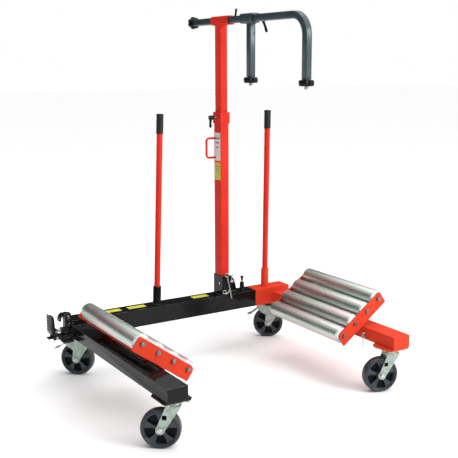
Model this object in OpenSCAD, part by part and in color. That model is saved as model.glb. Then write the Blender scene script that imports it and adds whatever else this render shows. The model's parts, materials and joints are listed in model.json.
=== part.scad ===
// Wheel dolly: a fixed and a sliding roller cradle on four swivel casters, with a mast and a foot pump.
// Origin on the floor, under the middle of the whole dolly's outline.
// X runs along the cross tube, the legs point towards -Y, Z is up.

/* [Frame] */
// Distance between the centre lines of the two legs, closed
leg_spacing = 1057; // [1040:1:1080]
// Width of a leg tube
leg_w = 86; // [80:1:92]
// Height of a leg tube
leg_h = 54; // [50:1:58]
// Front end of the legs, ahead of the cross tube axis
leg_reach = 903; // [895:1:920]
// Depth of the cross tube
tube_w = 86; // [84:1:90]
// Height of the cross tube
tube_h = 80; // [78:1:84]
// Wall of the structural tubes
tube_wall = 5; // [4:0.5:6]
// Open right end of the cross tube
tube_right = 374.5; // [365:1:380]
// Length of the sliding block beside the cross tube
block_len = 200; // [190:1:210]

/* [Casters] */
// Wheel diameter
wheel_d = 150; // [140:1:152]
// Wheel width
wheel_w = 40; // [34:1:42]
// Height of a caster from the floor to its plate
caster_h = 190; // [188:1:196]
// Distance from the kingpin to the wheel axle
trail = 43; // [38:1:46]
// Swivel angle at rest of the front left caster, seen from above
swivel_fl = -36; // [-60:1:0]
// Swivel angle at rest of the rear left caster
swivel_rl = -44; // [-60:1:0]
// Swivel angle at rest of the front right caster
swivel_fr = -18; // [-60:1:0]
// Swivel angle at rest of the rear right caster
swivel_rr = -33; // [-60:1:0]

/* [Cradles] */
// Roller diameter
roller_d = 70; // [60:1:72]
// Distance between roller axes
roller_pitch = 77; // [76:1:80]
// Tilt of a cradle, outer side high
cradle_tilt = 35.8; // [34:0.1:37]
// Outside length of a cradle, plate to plate
cradle_len = 508; // [480:1:520]

/* [Mast] */
// Mast centre, right of the origin
mast_x = 209; // [200:1:214]
// Mast centre, ahead of the cross tube axis
mast_y = 1; // [-1:1:3]
// Lower mast tube, across
mast_w = 42; // [41:1:44]
// Lower mast tube, front to back
mast_d = 60; // [58:1:61]
// Top of the lower mast tube
mast_low_top = 1142; // [1100:1:1160]
// Height of the support bar axis
bar_z = 1553; // [1540:1:1570]
// Support bar, a square tube with round corners, across its flats
bar_w = 30.5; // [29:0.5:32]

/* [Poles] */
// Push pole diameter
pole_d = 27; // [25:0.5:28]
// Top of the push poles
pole_top = 1144; // [1000:1:1150]

/* [Hidden] */
$fn = 64;

black_paint = "#26292b";
orange_paint = "#f0502f";
zinc = "#a9b3a6";
roller_zinc = "#c4cac2";
bar_paint = "#3f4c52";
black_plastic = "#1b1d1f";
wheel_grey = "#2e373e";
steel = "#b9bcbd";

// Where the cross tube's axis and the middle between the legs lie from the origin
frame_x = 36.1;
frame_y = 320.5;

// Levels of the frame
mount_t = 6;
mount_w = 118;
mount_l = 115;
mount_cut = 12;
mount_out = 4;
bolt_at = 40;
bolt_hole = 9;
rear_mount_w = 105;
frame_z = caster_h + mount_t;
leg_top = frame_z + leg_h;
tube_top = frame_z + tube_h;
leg_x = leg_spacing / 2;
frame_left = -leg_x - leg_w / 2;
front_caster_x = leg_x - 10;
front_caster_y = -leg_reach + mount_l / 2 + 1.5;
rear_caster_y = 13;
rear_left_x = -489.5;
rear_right_x = 540;
slide_gap = 0.5;
gap = 0.5;
leg_pin_y = -722;
leg_pin_z = frame_z + 26;

// Casters
crown_z = 165;
fork_in = wheel_w / 2 + 4;
fork_t = 4;
axle_r = 6;
brake_x = -88;
brake_z = crown_z - 12;

// Sliding parts inside the cross tube
block_left = tube_right + 1;
block_right = block_left + block_len;
slide_tube_left = -150;
slide_d = tube_w - 2 * tube_wall - 2 * slide_gap;
slide_h = tube_h - 2 * tube_wall - 2 * slide_gap;
tube_z = frame_z + tube_h / 2;
ram_left = frame_left + tube_wall + 2;
ram_end = slide_tube_left - 46;

// Cradles
plate_t = 8;
plate_len = 280;
plate_up = 19;
plate_down = 41;
cradle_x = 472.3;
cradle_z = 293;
cradle_front = -709;
cradle_back = cradle_front + cradle_len;
bush_t = 5;
axle_d = 12;
roller_len = cradle_len - 2 * plate_t - 2 * bush_t - 2 * gap;
tie_n = 37;
tie_t = 5;
tie_w = 34;
web_t = 8;
tie_in = 98;
tie_out = 112;

// Mast
mast_wall = 3;
socket_top = 370;
socket_wall = 2.7;
socket_back = 38;
mast_in_w = mast_w - 2 * mast_wall - 2 * gap;
mast_in_d = 50;
mast_in_bottom = 700;
collar_h = 52;
sleeve_w = 40;
sleeve_front = -85;
sleeve_back = 60;
pin_z = 330;
pin_y = mast_y - 15;
pin_hole = 11;
handle_z0 = 931;
handle_z1 = 1021;
handle_reach = 48;
handle_d = 10;
handle_r = 14;
clamp_z = 1118;
clamp_y = -45;
arm_clamp_y = -270;
clamp_boss = 22;
clamp_hole = 13;

// Support bar
bar_back = 236;
bar_corner = 5;
bend_r = 85;
arm_y = -646;
bar_bottom = 1297;
cup_d = 62;
cup_h = 26;
bar_wall = 3;
bar_in = bar_w - 2 * bar_wall;
short_y = -246;
short_bottom = 1304;
short_sleeve_w = 43;
short_sleeve_front = -283;
short_sleeve_back = -188;

// Index plunger
plunger_x = 313.5;
plunger_y = -14;

// Push poles: foot position and lean of each
pole_left_x = -144;
pole_right_x = 456.5;
lean_left = 2.2;
lean_right = 0.8;
pole_socket_d = 37.5;
pole_socket_left = 84;
pole_socket_right = 91;
grip_len = 88;
grip_d = 33;

// Foot pump
pump_y = -26;
pump_x = frame_left - 20;
pump_w = 30;
pump_top = 310;
pedal_x = frame_left - 76.5;
pedal_z = 212;
eye_z = 27;
lever_z = 298;
lever_r = 28;

// ---------- shared shapes ----------

module tube_y(y0, y1, d, bore) {
    translate([0, y0, 0]) rotate([-90, 0, 0]) difference() {
        cylinder(d = d, h = y1 - y0);
        translate([0, 0, -1]) cylinder(d = bore, h = y1 - y0 + 2);
    }
}

// Square with round corners, for the section of a square tube
module tube_section(w, r) {
    square([w - 2 * r, w], center = true);
    square([w, w - 2 * r], center = true);
    for (i = [-1, 1], j = [-1, 1]) translate([i * (w / 2 - r), j * (w / 2 - r)]) circle(r = r);
}

module square_y(y0, y1, w, r) {
    translate([0, y1, 0]) rotate([90, 0, 0]) linear_extrude(y1 - y0) tube_section(w, r);
}

module rod_y(y0, y1, d) {
    translate([0, y0, 0]) rotate([-90, 0, 0]) cylinder(d = d, h = y1 - y0);
}

module rod_x(x0, x1, d) {
    translate([x0, 0, 0]) rotate([0, 90, 0]) cylinder(d = d, h = x1 - x0);
}

module box_at(x0, x1, y0, y1, z0, z1) {
    translate([x0, y0, z0]) cube([x1 - x0, y1 - y0, z1 - z0]);
}

// Hand knob with rounded lobes, standing on z = 0
module lobed(d, h, lobes) {
    cylinder(d = d * 0.86, h = h);
    for (i = [0 : lobes - 1])
        rotate([0, 0, i * 360 / lobes]) translate([d * 0.39, 0, h * 0.12])
            cylinder(d = d * 0.22, h = h * 0.76);
}

// Clamp lever on a screw along -X, its arm pointing to the angle given
module clamp_lever(reach, angle, stud) {
    color(black_plastic) rod_x(-stud - 24, -stud, 20);
    color(black_plastic) translate([-stud - 22, 0, 0]) rotate([angle, 0, 0]) union() {
        translate([0, -5, 0]) cube([14, 10, reach * 0.55]);
        translate([7, 0, reach * 0.5]) cylinder(d = 13, h = reach * 0.5);
    }
}

// ---------- frame ----------

module mount_plate(x, y, w, l) {
    a = w / 2;
    b = l / 2;
    c = mount_cut;
    translate([x, y, caster_h]) linear_extrude(mount_t)
        polygon([[-a + c, -b], [a - c, -b], [a, -b + c], [a, b - c],
            [a - c, b], [-a + c, b], [-a, b - c], [-a, -b + c]]);
}

module mount_holes(x, y) {
    for (i = [-1, 1], j = [-1, 1])
        translate([x + i * bolt_at, y + j * bolt_at, caster_h - 1])
            cylinder(d = bolt_hole, h = mount_t + 2);
}

module leaned(x, lean) {
    translate([x, 0, tube_top]) rotate([0, lean, 0]) children();
}

// Flat web that stiffens the mast socket on its right side
module gusset() {
    gx = mast_x + mast_w / 2 + socket_wall + gap / 2;
    gh = socket_top - tube_top - 4;
    translate([gx, mast_y + 12, tube_top]) rotate([90, 0, 0]) linear_extrude(8)
        polygon(concat([[0, 0]], [for (a = [0 : 9 : 90]) [60 * cos(a), gh * sin(a)]]));
}

module main_frame() {
    sw = mast_w / 2 + gap / 2;
    sd = mast_d / 2 + gap / 2;
    color(black_paint) difference() {
        union() {
            box_at(frame_left, tube_right, -tube_w / 2, tube_w / 2, frame_z, tube_top);
            box_at(frame_left, frame_left + leg_w, -leg_reach, -tube_w / 2, frame_z, leg_top);
            mount_plate(-front_caster_x - mount_out, front_caster_y, mount_w, mount_l);
            mount_plate(rear_left_x, rear_caster_y, rear_mount_w, rear_mount_w);
            box_at(mast_x - sw - socket_wall, mast_x + sw + socket_wall,
                -tube_w / 2, socket_back, tube_top, socket_top);
            gusset();
            leaned(pole_left_x, lean_left) translate([0, 0, -2])
                cylinder(d = pole_socket_d, h = pole_socket_left + 2);
        }
        box_at(frame_left + tube_wall, tube_right + 1, -tube_w / 2 + tube_wall, tube_w / 2 - tube_wall,
            frame_z + tube_wall, tube_top - tube_wall);
        box_at(frame_left + tube_wall, frame_left + leg_w - tube_wall, -leg_reach + tube_wall,
            -tube_w / 2 - tube_wall, frame_z + tube_wall, leg_top - tube_wall);
        box_at(mast_x - sw, mast_x + sw, mast_y - sd, mast_y + sd, tube_top, socket_top + 1);
        leaned(pole_left_x, lean_left) translate([0, 0, 1])
            cylinder(d = pole_d + 2 * gap, h = pole_socket_left);
        translate([mast_x, pin_y, pin_z]) rod_x(-mast_w, mast_w, pin_hole);
        translate([plunger_x, plunger_y, tube_top - tube_wall - 1])
            cylinder(d = bolt_hole, h = tube_wall + 2);
        mount_holes(-front_caster_x, front_caster_y);
        mount_holes(rear_left_x, rear_caster_y);
    }
}

module slide_frame() {
    color(orange_paint) difference() {
        union() {
            box_at(block_left, block_right, -tube_w / 2, tube_w / 2, frame_z, tube_top);
            box_at(leg_x - leg_w / 2, leg_x + leg_w / 2, -leg_reach, -tube_w / 2, frame_z, leg_top);
            mount_plate(front_caster_x + mount_out, front_caster_y, mount_w, mount_l);
            mount_plate(rear_right_x, rear_caster_y, rear_mount_w, rear_mount_w);
            leaned(pole_right_x, lean_right) translate([0, 0, -2])
                cylinder(d = pole_socket_d, h = pole_socket_right + 2);
        }
        box_at(block_left - 1, block_right - tube_wall, -tube_w / 2 + tube_wall, tube_w / 2 - tube_wall,
            frame_z + tube_wall, tube_top - tube_wall);
        box_at(leg_x - leg_w / 2 + tube_wall, leg_x + leg_w / 2 - tube_wall, -leg_reach + tube_wall,
            -tube_w / 2 - tube_wall, frame_z + tube_wall, leg_top - tube_wall);
        leaned(pole_right_x, lean_right) translate([0, 0, 1])
            cylinder(d = pole_d + 2 * gap, h = pole_socket_right);
        translate([leg_x, leg_pin_y, leg_pin_z]) rod_x(-leg_w, leg_w, pin_hole);
        mount_holes(front_caster_x, front_caster_y);
        mount_holes(rear_right_x, rear_caster_y);
    }
}

// Inner tube, fixed in the sliding block and guided in the cross tube
module slide_tube() {
    color(steel) translate([slide_tube_left, 0, tube_z]) difference() {
        translate([0, -slide_d / 2, -slide_h / 2])
            cube([block_right - tube_wall - gap - slide_tube_left, slide_d, slide_h]);
        translate([8, -slide_d / 2 + 4, -slide_h / 2 + 4])
            cube([block_right - slide_tube_left, slide_d - 8, slide_h - 8]);
    }
}

module ram_cylinder() {
    color(steel) translate([0, 0, tube_z]) difference() {
        union() {
            rod_x(ram_left, ram_end, 50);
            rod_x(ram_left, ram_left + 12, 62);
        }
        rod_x(ram_left + 20, ram_end - 14, 40);
        rod_x(ram_end - 20, ram_end + 1, 23);
    }
}

module ram_rod() {
    color(steel) translate([0, 0, tube_z]) {
        rod_x(ram_left + 40, slide_tube_left, 22);
        rod_x(ram_left + 24, ram_left + 40, 39);
    }
}

// ---------- roller cradles, drawn for the left side and mirrored for the right ----------

// Cradle frame: x along the row of rollers, inwards and down, z square to it
module in_cradle() {
    translate([-cradle_x, 0, cradle_z]) rotate([0, cradle_tilt, 0]) children();
}

module each_roller_x() {
    for (i = [0 : 3]) translate([roller_pitch * (i - 1.5), 0, 0]) children();
}

module end_plate(y) {
    c = 6;
    hl = plate_len / 2;
    translate([0, y + plate_t, 0]) rotate([90, 0, 0]) linear_extrude(plate_t)
        polygon([[-hl, -plate_down], [hl, -plate_down], [hl, plate_up - 3 * c], [hl - c, plate_up - c],
            [hl - 3 * c, plate_up], [-hl + c, plate_up], [-hl, plate_up - c]]);
}

// Corner web between the underside of the ties and the inner side of the leg
module cradle_web(y) {
    in_cradle() translate([0, y + web_t, 0]) rotate([90, 0, 0]) linear_extrude(web_t)
        polygon([[-12, -tie_n - 1], [tie_out, -tie_n - 1], [42, -84], [20, -75], [-4, -58]]);
}

module cradle() {
    color(orange_paint) difference() {
        union() {
            in_cradle() {
                end_plate(cradle_front);
                end_plate(cradle_back - plate_t);
                for (u = [-tie_in, tie_in])
                    box_at(u - tie_w / 2, u + tie_w / 2, cradle_front + plate_t, cradle_back - plate_t,
                        -tie_n - tie_t, -tie_n);
            }
            for (k = [0.22, 0.78]) cradle_web(cradle_front + k * cradle_len);
        }
        in_cradle() each_roller_x() rod_y(cradle_front - 1, cradle_back + 1, axle_d + 0.6);
        box_at(frame_left - 60, frame_left + leg_w, -leg_reach, -tube_w / 2, 0, leg_top);
    }
}

module roller(i) {
    color(roller_zinc) in_cradle() translate([roller_pitch * (i - 2.5), 0, 0])
        tube_y(cradle_front + plate_t + bush_t + gap, cradle_front + plate_t + bush_t + gap + roller_len,
            roller_d, roller_d - 8);
}

// Through bolt of each roller, head in front, nut behind
module roller_axles() {
    color(zinc) in_cradle() each_roller_x() {
        rod_y(cradle_front - 2, cradle_back + 12, axle_d);
        translate([0, cradle_front - 9, 0]) rotate([-90, 0, 0]) cylinder(d = 19, h = 9, $fn = 6);
        translate([0, cradle_back, 0]) rotate([-90, 0, 0]) cylinder(d = 19, h = 9, $fn = 6);
    }
}

// Plastic end bushes that carry the rollers on their bolts
module roller_bushes() {
    y0 = cradle_front + plate_t;
    y1 = cradle_back - plate_t;
    color("#d5dde0") in_cradle() each_roller_x() {
        tube_y(y0, y0 + bush_t, 60, axle_d + 0.6);
        tube_y(y0 + bush_t, y0 + bush_t + 20, roller_d - 9, axle_d + 0.6);
        tube_y(y1 - bush_t, y1, 60, axle_d + 0.6);
        tube_y(y1 - bush_t - 20, y1 - bush_t, roller_d - 9, axle_d + 0.6);
    }
}

// ---------- mast ----------

module mast_lower() {
    color(orange_paint) difference() {
        union() {
            box_at(mast_x - mast_w / 2, mast_x + mast_w / 2, mast_y - mast_d / 2, mast_y + mast_d / 2,
                tube_top, mast_low_top);
            box_at(mast_x - mast_w / 2 - 4, mast_x + mast_w / 2 + 4, mast_y - mast_d / 2 - 4,
                mast_y + mast_d / 2 + 4, mast_low_top - collar_h, mast_low_top);
            grab_handle();
        }
        box_at(mast_x - mast_w / 2 + mast_wall, mast_x + mast_w / 2 - mast_wall,
            mast_y - mast_d / 2 + mast_wall, mast_y + mast_d / 2 - mast_wall, tube_top + 4, mast_low_top + 1);
        translate([mast_x, pin_y, pin_z]) rod_x(-mast_w, mast_w, pin_hole);
        translate([mast_x, mast_y, clamp_z]) rod_x(-mast_w, 0, clamp_hole);
    }
}

// Bent bar handle on the left side of the mast
module grab_handle() {
    straight = handle_reach - handle_r;
    mid = (handle_z0 + handle_z1) / 2;
    translate([mast_x - mast_w / 2, mast_y + 20, mid]) for (m = [0, 1]) mirror([0, 0, m]) {
        translate([0, 0, handle_z1 - mid]) rod_x(-straight, 1, handle_d);
        translate([-straight, 0, handle_z1 - mid - handle_r]) rotate([90, 0, 0])
            rotate([0, 0, 90]) rotate_extrude(angle = 90) translate([handle_r, 0]) circle(d = handle_d);
        translate([-handle_reach, 0, -0.1]) cylinder(d = handle_d, h = handle_z1 - mid - handle_r + 0.1);
    }
}

module mast_upper() {
    color(orange_paint) difference() {
        union() {
            box_at(mast_x - mast_in_w / 2, mast_x + mast_in_w / 2, mast_y - mast_in_d / 2,
                mast_y + mast_in_d / 2, mast_in_bottom, bar_z);
            translate([mast_x, 0, bar_z]) square_y(sleeve_front, sleeve_back, sleeve_w, bar_corner + 4);
            translate([mast_x, clamp_y, bar_z]) rod_x(0, sleeve_w / 2 + 8, clamp_boss);
        }
        box_at(mast_x - mast_in_w / 2 + mast_wall, mast_x + mast_in_w / 2 - mast_wall,
            mast_y - mast_in_d / 2 + mast_wall, mast_y + mast_in_d / 2 - mast_wall,
            mast_in_bottom - 1, bar_z - sleeve_w / 2);
        translate([mast_x, 0, bar_z])
            square_y(sleeve_front - 1, sleeve_back + 1, bar_w + 2 * gap, bar_corner);
        translate([mast_x, clamp_y, bar_z]) rod_x(5, sleeve_w / 2 + 9, clamp_hole);
    }
}

module mast_clamp() {
    translate([mast_x, mast_y, clamp_z]) {
        clamp_lever(44, 180, mast_w / 2 + 22);
        color(steel) rod_x(-mast_w / 2 - 30, -mast_in_w / 2 - gap, clamp_hole - 1);
    }
}

// Pin through the socket and the mast foot, with its ring and a spring clip
module mast_pin() {
    color(zinc) translate([mast_x, pin_y, pin_z]) {
        rod_x(-44, 46, 10);
        translate([46, 0, 0]) rod_x(0, 5, 16);
        translate([52, 0, 13]) rotate([0, 90, 0]) rotate_extrude() translate([15, 0]) circle(d = 4);
        translate([-38, 0, -20]) rotate([0, 90, 0]) rotate_extrude() translate([9, 0]) circle(d = 3);
        translate([-38, 9, -48]) cylinder(d = 3, h = 30);
    }
}

// ---------- support bar and short arm ----------

// Section of the support bar's tube, hollow
module bar_section() {
    difference() {
        tube_section(bar_w, bar_corner);
        tube_section(bar_in, bar_corner - bar_wall);
    }
}

module support_bar() {
    color(bar_paint) translate([mast_x, 0, bar_z]) {
        translate([0, bar_back, 0]) rotate([90, 0, 0])
            linear_extrude(bar_back - arm_y - bend_r) bar_section();
        translate([0, arm_y + bend_r, -bend_r]) rotate([0, -90, 0]) rotate([0, 0, -90])
            rotate_extrude(angle = 90) translate([bend_r, 0]) bar_section();
        translate([0, arm_y, bar_bottom - bar_z])
            linear_extrude(bar_z - bend_r - bar_bottom) bar_section();
    }
}

module bar_knob() {
    color(black_plastic) translate([mast_x, bar_back, bar_z]) rotate([-90, 0, 0]) union() {
        lobed(58, 26, 7);
        translate([0, 0, -18]) cylinder(d = bar_in - 0.6, h = 19);
    }
}

module foot_cup(top) {
    color(black_plastic) translate([0, 0, top - cup_h]) lobed(cup_d, cup_h, 8);
    color(zinc) translate([0, 0, top - cup_h - 12]) cylinder(d = 16, h = 12);
    color(zinc) translate([0, 0, top]) cylinder(d = bar_in - 0.6, h = 18);
}

module bar_cup() {
    translate([mast_x, arm_y, 0]) foot_cup(bar_bottom);
}

module short_arm() {
    color(bar_paint) translate([mast_x, 0, 0]) difference() {
        union() {
            translate([0, 0, bar_z])
                square_y(short_sleeve_front, short_sleeve_back, short_sleeve_w, bar_corner + 4);
            translate([0, arm_clamp_y, bar_z]) rod_x(0, short_sleeve_w / 2 + 6, clamp_boss);
            translate([0, short_y, short_bottom])
                linear_extrude(bar_z - short_bottom) tube_section(bar_w, bar_corner);
        }
        translate([0, 0, bar_z])
            square_y(short_sleeve_front - 1, short_sleeve_back + 1, bar_w + 2 * gap, bar_corner);
        translate([0, short_y, short_bottom - 1])
            linear_extrude(bar_z - short_bottom - short_sleeve_w / 2)
                tube_section(bar_in, bar_corner - bar_wall);
        translate([0, arm_clamp_y, bar_z]) rod_x(5, short_sleeve_w / 2 + 7, clamp_hole);
    }
}

module arm_cup() {
    translate([mast_x, short_y, 0]) foot_cup(short_bottom);
}

// Locking screw of the support bar in the mast sleeve
module bar_clamp() {
    translate([mast_x, clamp_y, bar_z]) mirror([1, 0, 0]) {
        clamp_lever(54, 15, sleeve_w / 2 + 9);
        color(steel) rod_x(-sleeve_w / 2 - 12, -bar_w / 2 - gap, clamp_hole - 1);
    }
}

// Locking screw of the short arm on the support bar
module arm_clamp() {
    translate([mast_x, arm_clamp_y, bar_z]) mirror([1, 0, 0]) {
        clamp_lever(68, 151, short_sleeve_w / 2 + 7);
        color(steel) rod_x(-short_sleeve_w / 2 - 10, -bar_w / 2 - gap, clamp_hole - 1);
    }
}

// ---------- index plunger and push poles ----------

module plunger_body() {
    color(black_plastic) translate([plunger_x, plunger_y, tube_top]) difference() {
        union() {
            cylinder(d = 24, h = 8, $fn = 6);
            translate([0, 0, 8]) cylinder(d = 22, h = 32);
            translate([0, 0, 40]) cylinder(d1 = 22, d2 = 14, h = 6);
        }
        translate([0, 0, -1]) cylinder(d = 9, h = 50);
    }
}

module plunger_pin() {
    color(black_plastic) translate([plunger_x, plunger_y, tube_top]) {
        translate([0, 0, -4]) cylinder(d = 8, h = 66);
        translate([0, 0, 62]) cylinder(d = 16, h = 12);
        translate([0, 0, 52]) cylinder(d = 12, h = 4);
    }
}

module pole(x, lean) {
    len = (pole_top - tube_top) / cos(lean);
    color(orange_paint) leaned(x, lean) translate([0, 0, 1 + gap]) difference() {
        cylinder(d = pole_d, h = len - 6);
        translate([0, 0, -1]) cylinder(d = pole_d - 5, h = len);
    }
}

module grip(x, lean) {
    len = (pole_top - tube_top) / cos(lean);
    color(black_plastic) leaned(x, lean) difference() {
        translate([0, 0, len - grip_len]) cylinder(d = grip_d, h = grip_len);
        translate([0, 0, len - grip_len - 1]) cylinder(d = pole_d + 0.6, h = grip_len - 3);
    }
}

// ---------- foot pump ----------

module pump_bracket() {
    plate = frame_left - mount_t;
    color(black_paint) union() {
        box_at(plate, frame_left, pump_y - 24, pump_y + 64, frame_z + 4, tube_top + 4);
        box_at(plate, frame_left, pump_y - 23, pump_y + 23, frame_z - 14, frame_z + 4);
        box_at(plate - 40, plate, pump_y - 23, pump_y + 23, frame_z - 14, frame_z - 7);
        for (k = [-1, 1]) translate([0, pump_y + k * 20 - 3, 0])
            box_at(pedal_x - 15, plate, 0, 6, pedal_z - 8, pedal_z + 7);
        translate([pedal_x, pump_y, pedal_z]) rod_y(-28, 28, 8);
    }
    color(zinc) for (y = [pump_y + 24, pump_y + 54], z = [frame_z + 18, tube_top - 12])
        translate([0, y, z]) rod_x(plate - 6, plate, 13);
}

module pump_block() {
    color(black_paint) difference() {
        union() {
            box_at(pump_x - pump_w / 2, frame_left - mount_t, pump_y - 13, pump_y + 13,
                frame_z + 10, pump_top);
            translate([0, pump_y, pedal_z + eye_z]) rod_x(pump_x - 30, pump_x, 24);
        }
        translate([0, pump_y, pedal_z + eye_z]) rod_x(pump_x - 31, pump_x + 10, 17);
        box_at(pump_x - pump_w, frame_left - mount_t - 2, pump_y - 5, pump_y + 5,
            lever_z - 9, pump_top + 1);
    }
    color(zinc) translate([pump_x, pump_y, lever_z]) rod_y(-17, 17, 7);
    color(zinc) for (z = [lever_z - 14, lever_z - 38])
        translate([pump_x + 6, pump_y - 17, z]) rod_y(0, 4, 12);
}

// Piston with a slotted eye, moved by the cross pin of the pedal
module pump_piston() {
    color(zinc) translate([0, pump_y, pedal_z + eye_z]) difference() {
        union() {
            rod_x(pedal_x + 8, pump_x + 6, 14);
            box_at(pedal_x - 9, pedal_x + 9, -5, 5, -15, 8);
        }
        box_at(pedal_x - 4.8, pedal_x + 4.8, -6, 6, -11, 4.7);
    }
}

// Cheek of the pedal: x across, y up
module pedal_cheek() {
    polygon([[-9, -4], [8, -4], [8, 34], [-3, 44], [-6, 88], [-12, 98], [-24, 98], [-24, 20]]);
}

// Pedal channel, almost upright at rest, on the pin at its lower end
module foot_pedal() {
    color(black_paint) translate([pedal_x, pump_y, pedal_z]) difference() {
        union() {
            rod_y(-15, 15, 18);
            for (k = [-8, 13]) translate([0, k, 0]) rotate([90, 0, 0]) linear_extrude(5) pedal_cheek();
            box_at(-24, -19, -29, 29, 20, 98);
            for (i = [0 : 4]) box_at(-27, -24, -25, 25, 32 + 13 * i, 37 + 13 * i);
            box_at(-34, -6, -13, 13, -3, 3);
            translate([0, 0, eye_z]) rod_y(-16, 16, 8);
        }
        rod_y(-31, 31, 8.8);
    }
}

// Curved release lever: hub and arm in the slot of the block, wide hook outside it
module release_lever() {
    color(black_paint) translate([pump_x, pump_y, lever_z]) difference() {
        union() {
            rod_y(-4, 4, 15);
            translate([-8, 0, -13]) rotate([90, 0, 0]) {
                translate([0, 0, -4]) rotate([0, 0, 55]) rotate_extrude(angle = 62)
                    translate([lever_r - 4, 0]) square([7, 8]);
                translate([0, 0, -14]) rotate([0, 0, 112]) rotate_extrude(angle = 78)
                    translate([lever_r - 4.5, 0]) square([8, 28]);
            }
            translate([-3, -4, 0]) cube([9, 8, 12]);
        }
        rod_y(-20, 20, 7.8);
    }
}

// Pin across the right leg with its hanging clip
module leg_pin() {
    color(zinc) translate([leg_x, leg_pin_y, leg_pin_z]) {
        rod_x(-leg_w / 2 - 12, leg_w / 2 + 6, 10);
        rod_x(leg_w / 2 + 1, leg_w / 2 + 6, 18);
        translate([-leg_w / 2 - 8, 0, -18]) rotate([0, 90, 0])
            rotate_extrude() translate([9, 0]) circle(d = 3);
        translate([-leg_w / 2 - 8, -9, -62]) cylinder(d = 3, h = 46);
    }
}

// ---------- casters: kingpin on the local z axis, wheel on the -x side ----------

module at_caster(x, y, swivel) {
    translate([x, y, 0]) rotate([0, 0, swivel]) children();
}

module caster_plate(x, y) {
    color(zinc) translate([x, y, 0]) difference() {
        union() {
            translate([-50, -50, caster_h - 5]) cube([100, 100, 5]);
            translate([0, 0, crown_z + 12]) cylinder(d = 58, h = caster_h - 5 - crown_z - 12);
            translate([0, 0, crown_z - 9]) cylinder(d = 12, h = 30);
            translate([0, 0, crown_z - 9]) cylinder(d = 22, h = 8, $fn = 6);
        }
        for (i = [-1, 1], j = [-1, 1])
            translate([i * bolt_at, j * bolt_at, caster_h - 6]) cylinder(d = bolt_hole, h = 8);
    }
    color(steel) for (i = [-1, 1], j = [-1, 1]) translate([x + i * bolt_at, y + j * bolt_at, 0]) {
        translate([0, 0, caster_h - 11]) cylinder(d = 15, h = 6, $fn = 6);
        translate([0, 0, caster_h - 11]) cylinder(d = 8.4, h = 17);
    }
}

// Straight fork of the front casters, with a square hole in each side
module fork_side_front() {
    difference() {
        union() {
            translate([-trail, wheel_d / 2]) circle(r = 17);
            polygon([[-trail - 17, wheel_d / 2], [-trail + 17, wheel_d / 2 - 2],
                [33, crown_z], [-22, crown_z]]);
        }
        translate([-trail / 2 - 14, wheel_d / 2 + 40]) square([17, 17]);
        translate([-trail, wheel_d / 2]) circle(r = axle_r + 0.4);
    }
}

// Swept fork of the rear casters, with an arm back to the brake
module fork_side_rear() {
    difference() {
        union() {
            translate([-trail, wheel_d / 2]) circle(r = 17);
            polygon([[-trail - 17, wheel_d / 2], [-trail + 17, wheel_d / 2 - 2], [34, crown_z],
                [-98, crown_z], [-106, crown_z - 12], [-88, crown_z - 26], [-54, wheel_d / 2 + 42]]);
        }
        translate([-trail, wheel_d / 2]) circle(r = axle_r + 0.4);
    }
}

module fork(rear) {
    color(zinc) difference() {
        union() {
            for (y = [-fork_in, fork_in + fork_t]) translate([0, y, 0]) rotate([90, 0, 0])
                linear_extrude(fork_t) if (rear) fork_side_rear(); else fork_side_front();
            translate([0, 0, crown_z]) cylinder(d = 66, h = 5);
            translate([-24, -fork_in - fork_t, crown_z]) cube([57, 2 * fork_in + 2 * fork_t, 5]);
            translate([0, 0, crown_z + 5]) cylinder(d = 64, h = 6);
            if (rear) translate([-98, -fork_in - fork_t, crown_z]) cube([40, 2 * fork_in + 2 * fork_t, 3]);
            if (rear) translate([brake_x, 0, brake_z]) rod_y(-fork_in - 1, fork_in + 1, 7);
        }
        translate([0, 0, crown_z - 1]) cylinder(d = 13, h = 20);
    }
}

module caster_wheel() {
    r = wheel_d / 2;
    hw = wheel_w / 2;
    color(wheel_grey) translate([-trail, 0, r]) rotate([90, 0, 0]) difference() {
        union() {
            rotate_extrude() polygon([[r - 19, -hw + 2], [r - 16, -hw], [r - 6, -hw], [r - 2, -hw + 3],
                [r, -hw + 9], [r, hw - 9], [r - 2, hw - 3], [r - 6, hw], [r - 16, hw], [r - 19, hw - 2]]);
            translate([0, 0, -5]) cylinder(r = r - 17, h = 10);
            translate([0, 0, -hw - 2]) cylinder(d = 38, h = wheel_w + 4);
            for (i = [0 : 4]) rotate([0, 0, 72 * i]) translate([10, -6, -hw + 5])
                cube([r - 28, 12, wheel_w - 10]);
        }
        translate([0, 0, -hw - 5]) cylinder(d = 2 * axle_r + 1, h = wheel_w + 10);
    }
}

module caster_axle() {
    y = fork_in + fork_t;
    color(zinc) translate([-trail, 0, wheel_d / 2]) {
        rod_y(-y - 8, y + 9, 2 * axle_r);
        translate([0, -y - 8, 0]) rotate([-90, 0, 0]) cylinder(d = 20, h = 8, $fn = 6);
        translate([0, y, 0]) rotate([-90, 0, 0]) cylinder(d = 20, h = 8, $fn = 6);
    }
}

// Brake pedal on the cross pin of a rear fork
module brake() {
    color(zinc) translate([brake_x, 0, brake_z]) difference() {
        union() {
            rod_y(-fork_in + 1, fork_in - 1, 14);
            rotate([0, -38, 0]) {
                box_at(-52, 0, -16, 16, -2, 2);
                translate([-51, 0, 0]) rotate([0, 22, 0]) box_at(-20, 0, -16, 16, -2, 2);
            }
        }
        rod_y(-fork_in - 2, fork_in + 2, 7.8);
    }
}

// ---------- places ----------

module placed() {
    translate([frame_x, frame_y, 0]) children();
}

module front_left() {
    at_caster(-front_caster_x, front_caster_y, swivel_fl) children();
}

module front_right() {
    at_caster(front_caster_x, front_caster_y, swivel_fr) children();
}

module rear_left() {
    at_caster(rear_left_x, rear_caster_y, swivel_rl) children();
}

module rear_right() {
    at_caster(rear_right_x, rear_caster_y, swivel_rr) children();
}

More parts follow.
